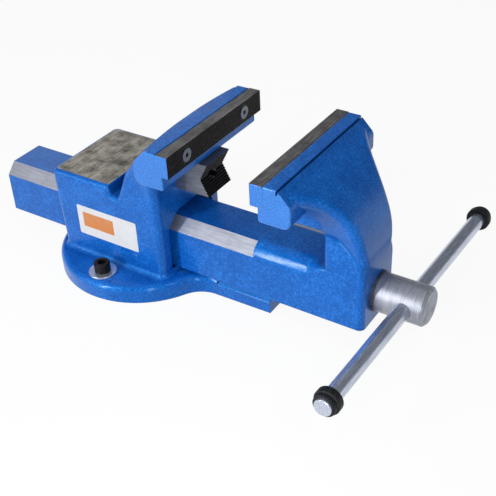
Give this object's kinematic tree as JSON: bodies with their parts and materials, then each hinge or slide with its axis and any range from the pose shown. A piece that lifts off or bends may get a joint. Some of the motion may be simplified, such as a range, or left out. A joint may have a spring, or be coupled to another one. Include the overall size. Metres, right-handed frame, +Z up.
{
  "type": "bench vise",
  "caption": "Cast bench vise on a round fixed flange, with an anvil, wide plated jaws, toothed pipe jaws below them and a screw turned by a sliding handle bar.",
  "frame": {"origin": "centre of the round flange on its underside, midway between the two bench bolts", "axes": "+X along the ram from the body towards the handle, +Y towards the side away from the camera, +Z up from the bench"},
  "size_m": [0.4739, 0.3357, 0.176],
  "materials": {
    "cast_paint": "glossy blue hammer-grain paint on a casting, with bare ground steel on the anvil and on the ram's two flats",
    "plate_steel": "hardened steel, ground on top and dark on the gripping face",
    "pipe_jaw_steel": "hardened steel with dark teeth and ground ends",
    "screw_steel": "zinc-plated steel",
    "black_screws": "blackened steel",
    "nut_iron": "bare grey iron",
    "washer_steel": "dark oiled steel",
    "bright_steel": "bright turned steel",
    "grip_rubber": "black matt rubber"
  },
  "bodies": {
    "base": {"fixed_body": "cast_paint", "fixed_jaw_plate": "plate_steel", "fixed_jaw_screws": "screw_steel", "fixed_pipe_jaw": "pipe_jaw_steel", "fixed_pipe_jaw_screw": "screw_steel", "spindle_nut": "nut_iron", "nut_screws": "black_screws"},
    "moving_jaw": {"moving_jaw": "cast_paint", "moving_jaw_plate": "plate_steel", "moving_jaw_screws": "screw_steel", "moving_pipe_jaw": "pipe_jaw_steel", "moving_pipe_jaw_screw": "screw_steel", "thrust_washer": "washer_steel"},
    "spindle": {"spindle": "bright_steel", "retaining_collar": "washer_steel", "collar_pin": "bright_steel"},
    "handle": {"handle_bar": "bright_steel", "handle_ring_near": "grip_rubber", "handle_ring_far": "grip_rubber", "handle_cap_near": "bright_steel", "handle_cap_far": "bright_steel"}
  },
  "joints": [
    {"name": "jaw_slide", "type": "slide", "parent": "base", "child": "moving_jaw", "axis": [1, 0, 0], "range_m": [-0.0818, 0.118]},
    {"name": "spindle_turn", "type": "hinge", "parent": "moving_jaw", "child": "spindle", "pos_m": [0.27, 0, 0.049], "axis": [1, 0, 0], "range_deg": [-5889, 8495]},
    {"name": "handle_slide", "type": "slide", "parent": "spindle", "child": "handle", "axis": [0, 0.9991, -0.0419], "range_m": [-0.1408, 0.1279]}
  ],
  "couplings": [
    {"joint": "jaw_slide", "follows": "spindle_turn", "m_per_rad": 0.00079577}
  ]
}
